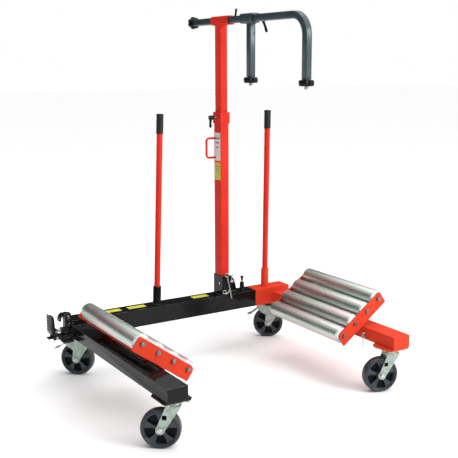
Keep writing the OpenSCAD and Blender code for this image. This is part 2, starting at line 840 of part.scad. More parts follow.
placed() main_frame();
placed() slide_frame();
placed() slide_tube();
placed() ram_cylinder();
placed() ram_rod();
placed() cradle();  // cradle_left
placed() mirror([1, 0, 0]) cradle();  // cradle_right
placed() roller(1);  // roller_l1
placed() roller(2);  // roller_l2
placed() roller(3);  // roller_l3
placed() roller(4);  // roller_l4
placed() mirror([1, 0, 0]) roller(1);  // roller_r1
placed() mirror([1, 0, 0]) roller(2);  // roller_r2
placed() mirror([1, 0, 0]) roller(3);  // roller_r3
placed() mirror([1, 0, 0]) roller(4);  // roller_r4
placed() roller_axles();  // roller_axles_left
placed() mirror([1, 0, 0]) roller_axles();  // roller_axles_right
placed() roller_bushes();  // roller_bushes_left
placed() mirror([1, 0, 0]) roller_bushes();  // roller_bushes_right
placed() mast_lower();
placed() mast_upper();
placed() mast_clamp();
placed() mast_pin();
placed() support_bar();
placed() bar_knob();
placed() bar_cup();
placed() short_arm();
placed() arm_cup();
placed() bar_clamp();
placed() arm_clamp();
placed() plunger_body();
placed() plunger_pin();
placed() pole(pole_left_x, lean_left);  // pole_left
placed() grip(pole_left_x, lean_left);  // grip_left
placed() pole(pole_right_x, lean_right);  // pole_right
placed() grip(pole_right_x, lean_right);  // grip_right
placed() pump_bracket();
placed() pump_block();
placed() pump_piston();
placed() foot_pedal();
placed() release_lever();
placed() leg_pin();
union() {  // caster_plates_left
    placed() caster_plate(-front_caster_x, front_caster_y);
    placed() caster_plate(rear_left_x, rear_caster_y);
}
union() {  // caster_plates_right
    placed() caster_plate(front_caster_x, front_caster_y);
    placed() caster_plate(rear_right_x, rear_caster_y);
}
placed() front_left() fork(false);  // caster_fork_fl
placed() rear_left() fork(true);  // caster_fork_rl
placed() front_right() fork(false);  // caster_fork_fr
placed() rear_right() fork(true);  // caster_fork_rr
placed() front_left() caster_wheel();  // caster_wheel_fl
placed() rear_left() caster_wheel();  // caster_wheel_rl
placed() front_right() caster_wheel();  // caster_wheel_fr
placed() rear_right() caster_wheel();  // caster_wheel_rr
placed() front_left() caster_axle();  // caster_axle_fl
placed() rear_left() caster_axle();  // caster_axle_rl
placed() front_right() caster_axle();  // caster_axle_fr
placed() rear_right() caster_axle();  // caster_axle_rr
placed() rear_left() brake();  // brake_left
placed() rear_right() brake();  // brake_right
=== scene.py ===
"""Wheel dolly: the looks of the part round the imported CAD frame.

Lengths are in millimetres until a piece is finished.
Part.make() turns them into metres in the frame's own axes.
"""

import json
import math

import bmesh
import bpy
from mathutils import Matrix, Vector, noise

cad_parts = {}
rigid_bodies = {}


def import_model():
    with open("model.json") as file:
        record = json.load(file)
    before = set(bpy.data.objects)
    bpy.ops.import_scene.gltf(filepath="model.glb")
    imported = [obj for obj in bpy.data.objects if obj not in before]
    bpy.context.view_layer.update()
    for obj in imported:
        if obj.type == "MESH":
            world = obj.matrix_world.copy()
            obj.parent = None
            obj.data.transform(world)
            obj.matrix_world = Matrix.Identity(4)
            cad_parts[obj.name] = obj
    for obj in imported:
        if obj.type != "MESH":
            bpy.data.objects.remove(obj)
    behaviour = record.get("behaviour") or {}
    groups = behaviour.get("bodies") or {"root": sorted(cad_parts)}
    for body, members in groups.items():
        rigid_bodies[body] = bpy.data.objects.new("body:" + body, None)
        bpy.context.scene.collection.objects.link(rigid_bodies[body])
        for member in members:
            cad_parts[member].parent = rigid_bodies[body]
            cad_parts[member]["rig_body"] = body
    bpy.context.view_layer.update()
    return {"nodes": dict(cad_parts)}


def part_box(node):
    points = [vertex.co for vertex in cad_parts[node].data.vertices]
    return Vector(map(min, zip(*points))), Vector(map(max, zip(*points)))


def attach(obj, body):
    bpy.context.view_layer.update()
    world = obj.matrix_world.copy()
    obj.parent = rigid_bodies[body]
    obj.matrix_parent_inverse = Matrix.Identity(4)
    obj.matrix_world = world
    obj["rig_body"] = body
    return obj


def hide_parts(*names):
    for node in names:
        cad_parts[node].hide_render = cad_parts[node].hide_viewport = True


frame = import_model()
NODES = frame["nodes"]
MM = 0.001

# The dolly's own axes: x from the middle between the legs, y from the cross tube's axis, z from the floor.
# The main frame ends in the rear left caster's plate, this many metres behind the tube's axis.
REAR_PLATE_EDGE = 0.0655
LEFT_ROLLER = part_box("roller_l1")
RIGHT_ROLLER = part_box("roller_r1")
DATUM = Vector(((LEFT_ROLLER[0].x + RIGHT_ROLLER[1].x) / 2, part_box("main_frame")[1].y - REAR_PLATE_EDGE, 0.0))
TO_ROW = Matrix.Translation(DATUM) @ Matrix.Scale(MM, 4)


# ---------- camera ----------

CAMERA_YAW, CAMERA_PITCH, CAMERA_ROLL = 32.0, 10.92, 0.14
CAMERA_FROM_DATUM = (-1.8619, -3.3781, 1.3544)
CAMERA_LENS, CAMERA_SENSOR = 66.69, 36.0


def make_camera():
    """Looks at the dolly from its front left, a little from above."""
    yaw, pitch, roll = (math.radians(a) for a in (CAMERA_YAW, CAMERA_PITCH, CAMERA_ROLL))
    forward = Vector((math.sin(yaw) * math.cos(pitch), math.cos(yaw) * math.cos(pitch), -math.sin(pitch)))
    right = Vector((math.cos(yaw), -math.sin(yaw), 0))
    down = forward.cross(right)
    across = math.cos(roll) * right + math.sin(roll) * down
    up = math.sin(roll) * right - math.cos(roll) * down
    cam = bpy.data.objects.new("camera", bpy.data.cameras.new("camera"))
    bpy.context.scene.collection.objects.link(cam)
    cam.matrix_world = Matrix((across, up, -forward)).transposed().to_4x4()
    cam.location = DATUM + Vector(CAMERA_FROM_DATUM)
    cam.data.sensor_width = CAMERA_SENSOR
    cam.data.lens = CAMERA_LENS
    cam.data.clip_start, cam.data.clip_end = 0.05, 200.0
    bpy.context.scene.camera = cam


# ---------- materials ----------

class Nodes:
    """A Principled material with short calls for the nodes round it."""

    def __init__(self, name):
        self.mat = bpy.data.materials.new(name)
        self.mat.use_nodes = True
        self.tree = self.mat.node_tree
        self.shader = self.tree.nodes["Principled BSDF"]
        self.coords = self.tree.nodes.new("ShaderNodeTexCoord").outputs["Object"]

    def link(self, a, b):
        self.tree.links.new(a, b)

    def put(self, **values):
        for key, value in values.items():
            self.shader.inputs[key.replace("_", " ")].default_value = value

    def stretched(self, scale):
        m = self.tree.nodes.new("ShaderNodeMapping")
        m.inputs["Scale"].default_value = scale
        self.link(self.coords, m.inputs["Vector"])
        return m.outputs["Vector"]

    def noise(self, scale, detail=3.0, rough=0.55, stretch=None):
        n = self.tree.nodes.new("ShaderNodeTexNoise")
        n.inputs["Scale"].default_value = scale
        n.inputs["Detail"].default_value = detail
        n.inputs["Roughness"].default_value = rough
        self.link(self.stretched(stretch) if stretch else self.coords, n.inputs["Vector"])
        return n.outputs["Fac"]

    def ramp(self, fac, *stops):
        r = self.tree.nodes.new("ShaderNodeValToRGB")
        while len(r.color_ramp.elements) < len(stops):
            r.color_ramp.elements.new(0.5)
        for e, (at, colour) in zip(r.color_ramp.elements, stops):
            e.position = at
            e.color = (*colour, 1) if len(colour) == 3 else colour
        self.link(fac, r.inputs["Fac"])
        return r.outputs["Color"]

    def span(self, fac, lo, hi, a=0.3, b=0.7):
        m = self.tree.nodes.new("ShaderNodeMapRange")
        for key, value in zip(("From Min", "From Max", "To Min", "To Max"), (a, b, lo, hi)):
            m.inputs[key].default_value = value
        self.link(fac, m.inputs["Value"])
        return m.outputs["Result"]

    def mix(self, fac, a, b):
        m = self.tree.nodes.new("ShaderNodeMix")
        m.data_type = "RGBA"
        for key, value in ((0, fac), (6, a), (7, b)):
            if isinstance(value, tuple):
                m.inputs[key].default_value = (*value, 1)
            elif isinstance(value, float):
                m.inputs[key].default_value = value
            else:
                self.link(value, m.inputs[key])
        return m.outputs[2]

    def times(self, a, b):
        m = self.tree.nodes.new("ShaderNodeMath")
        m.operation = "MULTIPLY"
        self.link(a, m.inputs[0])
        self.link(b, m.inputs[1])
        return m.outputs[0]

    def rounded(self, radius):
        """Normal of the surface with its edges rounded over."""
        b = self.tree.nodes.new("ShaderNodeBevel")
        b.samples = 4
        b.inputs["Radius"].default_value = radius
        return b.outputs["Normal"]

    def edges(self, radius):
        """1 on edges sharper than the radius, 0 on flat faces."""
        g = self.tree.nodes.new("ShaderNodeNewGeometry")
        dot = self.tree.nodes.new("ShaderNodeVectorMath")
        dot.operation = "DOT_PRODUCT"
        self.link(self.rounded(radius), dot.inputs[0])
        self.link(g.outputs["Normal"], dot.inputs[1])
        return self.span(dot.outputs["Value"], 1.0, 0.0, 0.93, 0.995)

    def bump(self, height, strength, distance, under=None):
        b = self.tree.nodes.new("ShaderNodeBump")
        b.inputs["Strength"].default_value = strength
        b.inputs["Distance"].default_value = distance
        self.link(height, b.inputs["Height"])
        if under:
            self.link(under, b.inputs["Normal"])
        return b.outputs["Normal"]


def shade(colour, k):
    return tuple(c * k for c in colour)


def paint(name, colour, rough, wear, wear_colour, deep=0.86, gloss=0.4):
    """Sprayed paint: drifting tone, orange peel, handling haze and edges rubbed thin."""
    n = Nodes(name)
    tone = n.ramp(n.noise(7.0, 4.0), (0.35, shade(colour, deep)), (0.65, colour))
    rub = n.times(n.edges(0.0035), n.span(n.noise(45.0, 5.0, 0.7), 0.0, wear, 0.46, 0.66))
    n.link(n.mix(rub, tone, wear_colour), n.shader.inputs["Base Color"])
    n.link(n.span(n.noise(24.0, 5.0, 0.65), rough * 0.75, rough * 1.35), n.shader.inputs["Roughness"])
    peel = n.bump(n.noise(420.0, 2.0), 0.10, 0.0004)
    n.link(n.bump(n.noise(18.0, 2.0), 0.04, 0.002, peel), n.shader.inputs["Normal"])
    n.put(Specular_IOR_Level=gloss)
    return n.mat


def zinc_plate(name, light, dark, tint, rough, cells=55.0):
    """Zinc plate with drifting passivation colour, dull patches and fine scratches."""
    n = Nodes(name)
    base = n.ramp(n.noise(cells, 4.0, 0.6), (0.35, dark), (0.6, light))
    n.link(n.mix(n.span(n.noise(21.0, 3.0), 0.0, 0.5), base, tint), n.shader.inputs["Base Color"])
    n.link(n.span(n.noise(38.0, 5.0, 0.7), rough * 0.7, rough * 1.4), n.shader.inputs["Roughness"])
    grain = n.bump(n.noise(300.0, 3.0, 0.6, (1, 1, 0.25)), 0.12, 0.0003, n.rounded(0.0008))
    n.link(n.bump(n.noise(90.0, 2.0), 0.08, 0.0006, grain), n.shader.inputs["Normal"])
    n.put(Metallic=0.85)
    return n.mat


def turned(name, light, dark, tints_and_reflections, rough, pitch):
    """Turned and plated steel: rings along Y, long drifting streaks of passivation colour and painted
    reflection bands, dark, light, teal and pink, that run along the roller.
    """
    n = Nodes(name)
    # Streaks along Y painted dark and light, teal and pink: partly the plating's own passivation tint, partly
    # painted reflection bands
    streak_and_reflection = n.noise(42.0, 3.0, 0.6, (1, 0.06, 1))
    tone = n.ramp(streak_and_reflection, (0.32, dark), (0.5, light), (0.7, light))
    hue_and_reflection = n.ramp(n.noise(48.0, 2.0, 0.5, (1, 0.05, 1)), (0.38, tints_and_reflections[0]), (0.5, light), (0.60, tints_and_reflections[1]))
    n.link(n.mix(0.55, tone, hue_and_reflection), n.shader.inputs["Base Color"])
    dull = n.noise(60.0, 4.0, 0.6, (1, 3, 1))
    n.link(n.span(dull, rough * 0.7, rough * 1.35), n.shader.inputs["Roughness"])
    w = n.tree.nodes.new("ShaderNodeTexWave")
    w.bands_direction = "Y"
    w.inputs["Scale"].default_value = 1 / (pitch * 2)
    w.inputs["Distortion"].default_value = 0.6
    w.inputs["Detail Scale"].default_value = 2.0
    n.link(n.coords, w.inputs["Vector"])
    n.link(n.bump(w.outputs["Fac"], 0.10, 0.0003), n.shader.inputs["Normal"])
    n.put(Metallic=0.9)
    return n.mat


def plastic(name, colour, light, rough, grain=380.0, strength=0.18, gloss=0.28):
    """Moulded plastic: spark-eroded grain, scuffs and a pale bloom on edges."""
    n = Nodes(name)
    tone = n.ramp(n.noise(14.0, 4.0, 0.6), (0.35, colour), (0.7, light))
    scuff = n.times(n.edges(0.0025), n.span(n.noise(90.0, 4.0, 0.7), 0.0, 0.55, 0.4, 0.65))
    n.link(n.mix(scuff, tone, shade(light, 2.2)), n.shader.inputs["Base Color"])
    n.link(n.span(n.noise(33.0, 5.0, 0.65), rough * 0.8, rough * 1.25), n.shader.inputs["Roughness"])
    n.link(n.bump(n.noise(grain, 3.0, 0.6), strength, 0.0004), n.shader.inputs["Normal"])
    n.put(Specular_IOR_Level=gloss)
    return n.mat


def film(name, colour):
    """Vinyl label: slightly soiled, with a faint lift of the film."""
    rough = 0.42
    n = Nodes(name)
    soil = n.ramp(n.noise(40.0, 5.0, 0.7), (0.3, shade(colour, 0.8)), (0.62, colour))
    n.link(soil, n.shader.inputs["Base Color"])
    n.link(n.span(n.noise(120.0, 4.0), rough * 0.8, rough * 1.3), n.shader.inputs["Roughness"])
    n.link(n.bump(n.noise(160.0, 2.0), 0.08, 0.0003), n.shader.inputs["Normal"])
    return n.mat


RUBBED_RED = (0.50, 0.16, 0.11)
ORANGE = paint("orange_paint", (0.67, 0.050, 0.021), 0.36, 0.30, RUBBED_RED, gloss=0.06)
RED = paint("mast_paint", (0.67, 0.029, 0.016), 0.36, 0.30, RUBBED_RED, gloss=0.06)
BLACK = paint("black_paint", (0.0060, 0.0066, 0.0066), 0.15, 0.75, (0.22, 0.23, 0.23), deep=0.7, gloss=0.17)
BAR = paint("bar_paint", (0.033, 0.058, 0.068), 0.30, 0.4, (0.20, 0.24, 0.25), deep=0.78, gloss=0.45)
PUMP = paint("pump_black", (0.0045, 0.005, 0.005), 0.24, 0.8, (0.26, 0.27, 0.27), deep=0.6, gloss=0.25)
ZINC = zinc_plate("fork_zinc", (0.42, 0.48, 0.41), (0.24, 0.28, 0.245), (0.36, 0.45, 0.41), 0.42)
BOLT = zinc_plate("bolt_zinc", (0.62, 0.64, 0.63), (0.34, 0.35, 0.36), (0.62, 0.62, 0.55), 0.32, 160.0)
STEEL = zinc_plate("bright_steel", (0.68, 0.69, 0.69), (0.50, 0.51, 0.52), (0.66, 0.64, 0.60), 0.28, 90.0)
AXLE = zinc_plate("axle_zinc", (0.26, 0.23, 0.22), (0.09, 0.085, 0.08), (0.20, 0.22, 0.24), 0.34, 160.0)
# Teal and pink streaks on the rollers: partly passivation tint, partly painted reflection
PASSIVATION_AND_REFLECTION_TINTS = ((0.43, 0.62, 0.57), (0.72, 0.42, 0.52))
ROLLER = turned("roller_plate_painted_reflection", (0.60, 0.65, 0.58), (0.38, 0.42, 0.38), PASSIVATION_AND_REFLECTION_TINTS, 0.36, 0.0016)
BUSH = plastic("bush_plastic", (0.50, 0.58, 0.64), (0.72, 0.78, 0.82), 0.40)
TYRE = plastic("wheel_tread", (0.009, 0.014, 0.018), (0.018, 0.027, 0.034), 0.36, 260.0, 0.25, 0.55)
RIM = plastic("wheel_centre", (0.013, 0.020, 0.025), (0.032, 0.044, 0.053), 0.32, gloss=0.5)
# Near-black copy of the wheel's plastic for the web between the spokes: painted shade of the deep recess
RECESS_PAINTED_SHADE = plastic("wheel_recess_painted_shade", (0.0025, 0.0035, 0.0045), (0.005, 0.007, 0.009), 0.5, gloss=0.1)
KNOB = plastic("knob_plastic", (0.0035, 0.004, 0.0045), (0.007, 0.008, 0.009), 0.30, gloss=0.16)
GRIP = plastic("grip_rubber", (0.005, 0.0055, 0.006), (0.012, 0.0125, 0.013), 0.46, 520.0, 0.35)
YELLOW = film("yellow_film", (0.50, 0.58, 0.03))
AMBER = film("amber_film", (0.82, 0.50, 0.05))
WHITE = film("white_film", (0.70, 0.72, 0.72))
GREY = film("grey_film", (0.16, 0.17, 0.18))


# ---------- mesh building ----------

class Part:
    """One piece under construction: closed solids gathered in millimetres."""

    def __init__(self, *mats):
        self.bm = bmesh.new()
        self.mats = mats

    def add(self, tmp, mat=0, matrix=None):
        """Moves a solid into this piece, with one of its materials."""
        for f in tmp.faces:
            f.material_index = mat
        if matrix is not None:
            tmp.transform(matrix)
        mesh = bpy.data.meshes.new("part")
        tmp.to_mesh(mesh)
        tmp.free()
        self.bm.from_mesh(mesh)
        bpy.data.meshes.remove(mesh)

    def make(self, name, body, slot, replaces=(), sharp=38.0):
        """Finishes the piece as an object on a body; edges that turn by more than sharp stay sharp."""
        self.bm.transform(TO_ROW)
        bmesh.ops.recalc_face_normals(self.bm, faces=self.bm.faces)
        mesh = bpy.data.meshes.new(name)
        self.bm.to_mesh(mesh)
        self.bm.free()
        for m in self.mats:
            mesh.materials.append(m)
        mesh.shade_smooth()
        mesh.set_sharp_from_angle(angle=math.radians(sharp))
        obj = bpy.data.objects.new(name, mesh)
        bpy.context.scene.collection.objects.link(obj)
        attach(obj, body)
        if replaces:
            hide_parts(*replaces)


def lathe(profile, seg=48, lobes=0, depth=0.0, start=0.0):
    """Solid of revolution about Z, closed by its poles or, where it has a bore, round its profile.

    With lobes, everything wider than start is pressed in by up to depth between them.
    """
    bm = bmesh.new()
    rings = []
    for r, z in profile:
        if r < 1e-6:
            rings.append([bm.verts.new((0, 0, z))])
            continue
        row = []
        for i in range(seg):
            a = 2 * math.pi * i / seg
            k = r - depth * (0.5 - 0.5 * math.cos(lobes * a)) ** 1.5 * (r > start) if lobes else r
            row.append(bm.verts.new((k * math.cos(a), k * math.sin(a), z)))
        rings.append(row)
    pairs = list(zip(rings, rings[1:]))
    if len(rings[0]) > 1:
        pairs.append((rings[-1], rings[0]))
    for a, b in pairs:
        for i in range(seg):
            j = (i + 1) % seg
            quad = [a[i % len(a)], a[j % len(a)], b[j % len(b)], b[i % len(b)]]
            bm.faces.new(list(dict.fromkeys(quad)))
    return bm


def sweep(points, radii, seg=16, closed=False, flat=1.0):
    """Round bar along a path, with a small chamfer at its open ends."""
    pts = [Vector(p) for p in points]
    if isinstance(radii, (int, float)):
        radii = [radii] * len(pts)
    n = len(pts)
    if closed:
        tangents = [(pts[(i + 1) % n] - pts[i - 1]).normalized() for i in range(n)]
    else:
        tangents = [(pts[min(i + 1, n - 1)] - pts[max(i - 1, 0)]).normalized() for i in range(n)]
        first, last, r0, r1 = pts[0], pts[-1], radii[0], radii[-1]
        pts = [first, first + tangents[0] * r0 * 0.12] + pts[1:-1] + [last - tangents[-1] * r1 * 0.12, last]
        radii = [r0 * 0.82, r0] + list(radii[1:-1]) + [r1, r1 * 0.82]
        tangents = [tangents[0]] + tangents + [tangents[-1]]
        n += 2
    side = tangents[0].orthogonal().normalized()
    angles = [2 * math.pi * i / seg for i in range(seg)]
    bm = bmesh.new()
    rings = []
    for p, r, t in zip(pts, radii, tangents):
        side = (side - t * side.dot(t)).normalized()
        other = t.cross(side)
        around = [math.cos(a) * side + flat * math.sin(a) * other for a in angles]
        rings.append([bm.verts.new(p + r * way) for way in around])
    pairs = list(zip(rings, rings[1:]))
    if closed:
        first = min(range(seg), key=lambda k: (rings[0][k].co - rings[-1][0].co).length)
        pairs.append((rings[-1], rings[0][first:] + rings[0][:first]))
    else:
        bm.faces.new(list(reversed(rings[0])))
        bm.faces.new(rings[-1])
    for a, b in pairs:
        for i in range(seg):
            j = (i + 1) % seg
            bm.faces.new((a[i], a[j], b[j], b[i]))
    return bm


def bevelled(bm, width, seg=2, angle=25.0, clamp=True):
    """The same mesh, with the edges that turn by more than the angle in degrees broken."""
    edges = [e for e in bm.edges if len(e.link_faces) == 2 and e.calc_face_angle(0) > math.radians(angle)]
    bmesh.ops.bevel(bm, geom=edges, offset=width, offset_type="OFFSET", segments=seg, profile=0.5,
                    affect="EDGES", clamp_overlap=clamp)
    return bm


def block(x0, x1, y0, y1, z0, z1, width, seg):
    """Box with broken edges."""
    bm = bmesh.new()
    bmesh.ops.create_cube(bm, size=1.0)
    bm.transform(Matrix.Translation(((x0 + x1) / 2, (y0 + y1) / 2, (z0 + z1) / 2))
                 @ Matrix.Diagonal((x1 - x0, y1 - y0, z1 - z0, 1)))
    return bevelled(bm, width, seg)


def prism(outline, z0, z1, width, seg):
    """Outline raised from z0 to z1, with broken edges."""
    bm = bmesh.new()
    low = [bm.verts.new((x, y, z0)) for x, y in outline]
    top = [bm.verts.new((x, y, z1)) for x, y in outline]
    bm.faces.new(list(reversed(low)))
    bm.faces.new(top)
    for i in range(len(outline)):
        j = (i + 1) % len(outline)
        bm.faces.new((low[i], low[j], top[j], top[i]))
    return bevelled(bm, width, seg)


def turn(axis, degrees):
    return Matrix.Rotation(math.radians(degrees), 4, axis)


def shift(x, y, z):
    return Matrix.Translation((x, y, z))


ALONG_X = turn("Y", 90)
ALONG_Y = turn("X", -90)


def centre_mm(node):
    """Middle of a CAD node, in the dolly's own millimetres."""
    lo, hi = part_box(node)
    return ((lo + hi) / 2 - DATUM) / MM


def size_mm(node):
    """Lengths of a CAD node's box in millimetres."""
    lo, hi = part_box(node)
    return (hi - lo) / MM


# Below the step between the faces of a two-part bevel, so that large flat faces keep their own normals
FLAT_SHARP = 20.0


def refined(node, width, *mats):
    """A part started from the CAD node's own shape, with its edges broken where the width is not 0.

    A plate with holes near its outline keeps a width of 0.
    """
    bm = bmesh.new()
    bm.from_mesh(NODES[node].data)
    bmesh.ops.remove_doubles(bm, verts=bm.verts, dist=2e-6)
    if width > 0:
        bmesh.ops.dissolve_limit(bm, angle_limit=math.radians(0.4), verts=bm.verts, edges=bm.edges)
        bevelled(bm, width * MM, 2, 28.0, clamp=False)
    lo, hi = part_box(node)
    for v in bm.verts:
        v.co = [min(max(c, a), b) for c, a, b in zip(v.co, lo, hi)]
    part = Part(*mats)
    part.add(bm, 0, TO_ROW.inverted())
    return part


def refine(node, width, mat, slot):
    """The CAD node's own shape as a finished piece."""
    refined(node, width, mat).make(node + "_finished", NODES[node]["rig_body"], slot, (node,), FLAT_SHARP)


def hex_bolt(part, x, y, z, across, h, matrix=Matrix(), mat=0):
    """Hexagon head with a chamfered face, a washer face and the bolt's end, standing on its own z = 0."""
    r = across / math.sqrt(3)
    head = lathe([(0, 0.5), (r, 0.5), (r, h - 1.0), (r - 1.0, h), (0, h)], 6)
    place = shift(x, y, z) @ matrix
    part.add(bevelled(head, 0.4, 1), mat, place)
    washer, end = across * 0.56, across * 0.36
    part.add(lathe([(0, 0), (washer, 0), (washer, 0.9), (0, 0.9)], 32), mat, place)
    part.add(lathe([(0, h - 0.4), (end, h - 0.4), (across * 0.33, h + 0.3), (0, h + 0.3)], 28), mat, place)


make_camera()


# ---------- structure ----------

# Legs and cross tube; a weldment's undersides are at FRAME_Z
LEG_X, LEG_W, LEG_TOP = 528.5, 86.0, 250.0
FRAME_Z, TUBE_TOP, TUBE_HALF = 196.0, 276.0, 43.0
# Mast and its socket
MAST_X, MAST_Y, MAST_W, SOCKET_BACK, SOCKET_TOP, SOCKET_WALL = 209.0, 1.0, 42.0, 38.0, 370.0, 3.2
MAST_CLAMP_Z = 1118.0
# Support bar and the sleeve that carries it
BAR_Z, BAR_W, BAR_CORNER, BAR_BACK, BAR_END = 1553.0, 30.5, 5.0, 236.0, 1297.0
ARM_Y, BEND_R, SLEEVE_W = -646.0, 85.0, 40.0
BAR_CLAMP_Y, ARM_CLAMP_Y = -45.0, -270.0
# Short arm and its sleeve
SHORT_Y, SHORT_END, SHORT_W, SHORT_FRONT, SHORT_BACK = -246.0, 1304.0, 43.0, -283.0, -188.0
# Push poles: place on the tube and lean in degrees
POLES = {"left": (-144.0, 2.2), "right": (456.5, 0.8)}
POLE_TOP, POLE_R, POLE_SOCKET_R, GRIP_R, GRIP_LEN = 1144.0, 13.5, 19.0, 16.5, 88.0
PLUNGER_X, PLUNGER_Y = 313.5, -14.0
# Foot pump
PUMP_X, PUMP_Y, PEDAL_X, PEDAL_Z, EYE_Z, LEVER_Z = -591.5, -26.0, -648.0, 212.0, 27.0, 298.0
BRACKET_T = 6.0
# Pins
PIN_Y, PIN_Z, LEG_PIN_Y, LEG_PIN_Z = -14.0, 330.0, -722.0, 222.0
# Casters: kingpins, and their angles at rest in degrees
CASTERS = {"fl": (-518.5, -844.0), "fr": (518.5, -844.0), "rl": (-489.5, 13.0), "rr": (540.0, 13.0)}
SWIVELS = {"fl": -36.0, "rl": -44.0, "fr": -18.0, "rr": -33.0}
WHEEL_R, WHEEL_HALF, TRAIL, AXLE_R, FORK_OUT = 75.0, 20.0, 43.0, 6.0, 28.0


def resampled(points, step):
    """The same path with points a step apart."""
    pts = [Vector(p) for p in points]
    out = [pts[0]]
    for a, b in zip(pts, pts[1:]):
        n = max(1, round((b - a).length / step))
        out += [a.lerp(b, k / n) for k in range(1, n + 1)]
    return out


def bead(part, points, r=2.6, closed=False):
    """Weld bead along a path: overlapping ripples, a little uneven."""
    pts = resampled(list(points) + ([points[0]] if closed else []), 2.4)
    if closed:
        pts = pts[:-1]
    radii = [r * (1.0 + 0.14 * math.sin(1.9 * i) + 0.10 * noise.noise(p * 0.11)) for i, p in enumerate(pts)]
    part.add(sweep(pts, radii, 8, closed))


def circle(x, y, z, r):
    """Level circle of 40 points."""
    angles = [2 * math.pi * i / 40 for i in range(40)]
    return [(x + r * math.cos(a), y + r * math.sin(a), z) for a in angles]


def rounded_square(w, r):
    """Outline of a square with round corners, counter-clockwise."""
    steps = 5
    out = []
    for quarter in range(4):
        cx = (w / 2 - r) * (1, -1, -1, 1)[quarter]
        cy = (w / 2 - r) * (1, 1, -1, -1)[quarter]
        for k in range(steps + 1):
            a = math.pi / 2 * (quarter + k / steps)
            out.append((cx + r * math.cos(a), cy + r * math.sin(a)))
    return out


def joined(rings, loop=False):
    """Skin between rings of points; a loop closes on itself, otherwise both ends get a cap."""
    bm = bmesh.new()
    rows = [[bm.verts.new(p) for p in points] for points in rings]
    pairs = list(zip(rows, rows[1:]))
    if loop:
        pairs.append((rows[-1], rows[0]))
    else:
        bm.faces.new(list(reversed(rows[0])))
        bm.faces.new(rows[-1])
    for a, b in pairs:
        for k in range(len(a)):
            m = (k + 1) % len(a)
            bm.faces.new((a[k], a[m], b[m], b[k]))
    return bm


def square_tube(path, w, r):
    """Square tube with round corners along a path that stays in a plane across X."""
    pts = [Vector(p) for p in path]
    rings = []
    for k, p in enumerate(pts):
        along = (pts[min(k + 1, len(pts) - 1)] - pts[max(k - 1, 0)]).normalized()
        up = Vector((1, 0, 0)).cross(along)
        size = w - 1.0 if k in (0, len(pts) - 1) else w
        rings.append([p + Vector((u, 0, 0)) + v * up for u, v in rounded_square(size, r)])
    return joined(rings)


def square_sleeve(y0, y1, outer, inner, r):
    """Square sleeve along Y, open right through, with its edges broken."""
    wide, narrow = outer - 2.0, inner + 1.4
    steps = ((inner, y0 + 0.7), (narrow, y0), (wide, y0), (outer, y0 + 1.0),
             (outer, y1 - 1.0), (wide, y1), (narrow, y1), (inner, y1 - 0.7))
    return joined([[(MAST_X + u, y, BAR_Z + v) for u, v in rounded_square(w, r if w < wide else r + 4)]
                   for w, y in steps], loop=True)


refine("main_frame", 1.2, BLACK, "black_paint")
refine("slide_frame", 0.9, ORANGE, "orange_paint")
refine("mast_lower", 1.1, RED, "orange_paint")
refine("mast_upper", 1.1, RED, "orange_paint")
refine("cradle_left", 1.2, ORANGE, "orange_paint")
refine("cradle_right", 1.2, ORANGE, "orange_paint")
for node in ("slide_tube", "ram_cylinder", "ram_rod"):
    refine(node, 0.8, STEEL, "steel")
for side in ("left", "right"):
    refine(f"caster_plates_{side}", 0.5, ZINC, "zinc")
    refine(f"roller_bushes_{side}", 0.8, BUSH, "bush_plastic")


# Stretches of the cradle's weld along a leg
CRADLE_WELDS = ((-680, -600), (-500, -410), (-300, -225))


def frame_welds(s, mat, pole_x):
    """Beads round the leg, the pole socket and the cradle; s is -1 on the left and 1 on the right."""
    part = Part(mat)
    x0, x1 = s * LEG_X - LEG_W / 2, s * LEG_X + LEG_W / 2
    y = -TUBE_HALF - 0.6
    low = FRAME_Z + 4
    bead(part, [(x0, y, low), (x0, y, LEG_TOP), (x1, y, LEG_TOP), (x1, y, low)])
    bead(part, circle(pole_x, 0, TUBE_TOP + 0.8, POLE_SOCKET_R), 2.4, closed=True)
    inner = s * (LEG_X - LEG_W / 2)
    for y0, y1 in CRADLE_WELDS:
        bead(part, [(inner, y0, LEG_TOP - 1), (inner, y1, LEG_TOP - 1)], 3.0)
    return part


def socket_welds(part):
    """Beads round three sides of the mast socket and along the foot of its gusset."""
    side = MAST_W / 2 + SOCKET_WALL
    bead(part, [(MAST_X - side, 2 - TUBE_HALF, TUBE_TOP), (MAST_X - side, SOCKET_BACK, TUBE_TOP),
                (MAST_X + side, SOCKET_BACK, TUBE_TOP), (MAST_X + side, MAST_Y + 16, TUBE_TOP)], 3.0)
    bead(part, [(MAST_X + side, MAST_Y + 3, TUBE_TOP), (MAST_X + side + 58, MAST_Y + 3, TUBE_TOP)], 2.4)


left = frame_welds(-1, BLACK, POLES["left"][0])
socket_welds(left)
left.make("frame_welds", "frame", "black_paint")
frame_welds(1, ORANGE, POLES["right"][0]).make("slide_welds", "slide", "orange_paint")


# ---------- mast, labels ----------

def head_weld():
    """Bead round the top of the mast, under the sleeve."""
    part = Part(RED)
    z = BAR_Z - SLEEVE_W / 2
    bead(part, [(MAST_X + u, MAST_Y + v, z) for u, v in ((-17.5, -25), (17.5, -25), (17.5, 25), (-17.5, 25))],
         2.2, closed=True)
    part.make("mast_head_weld", "mast_top", "orange_paint")


head_weld()


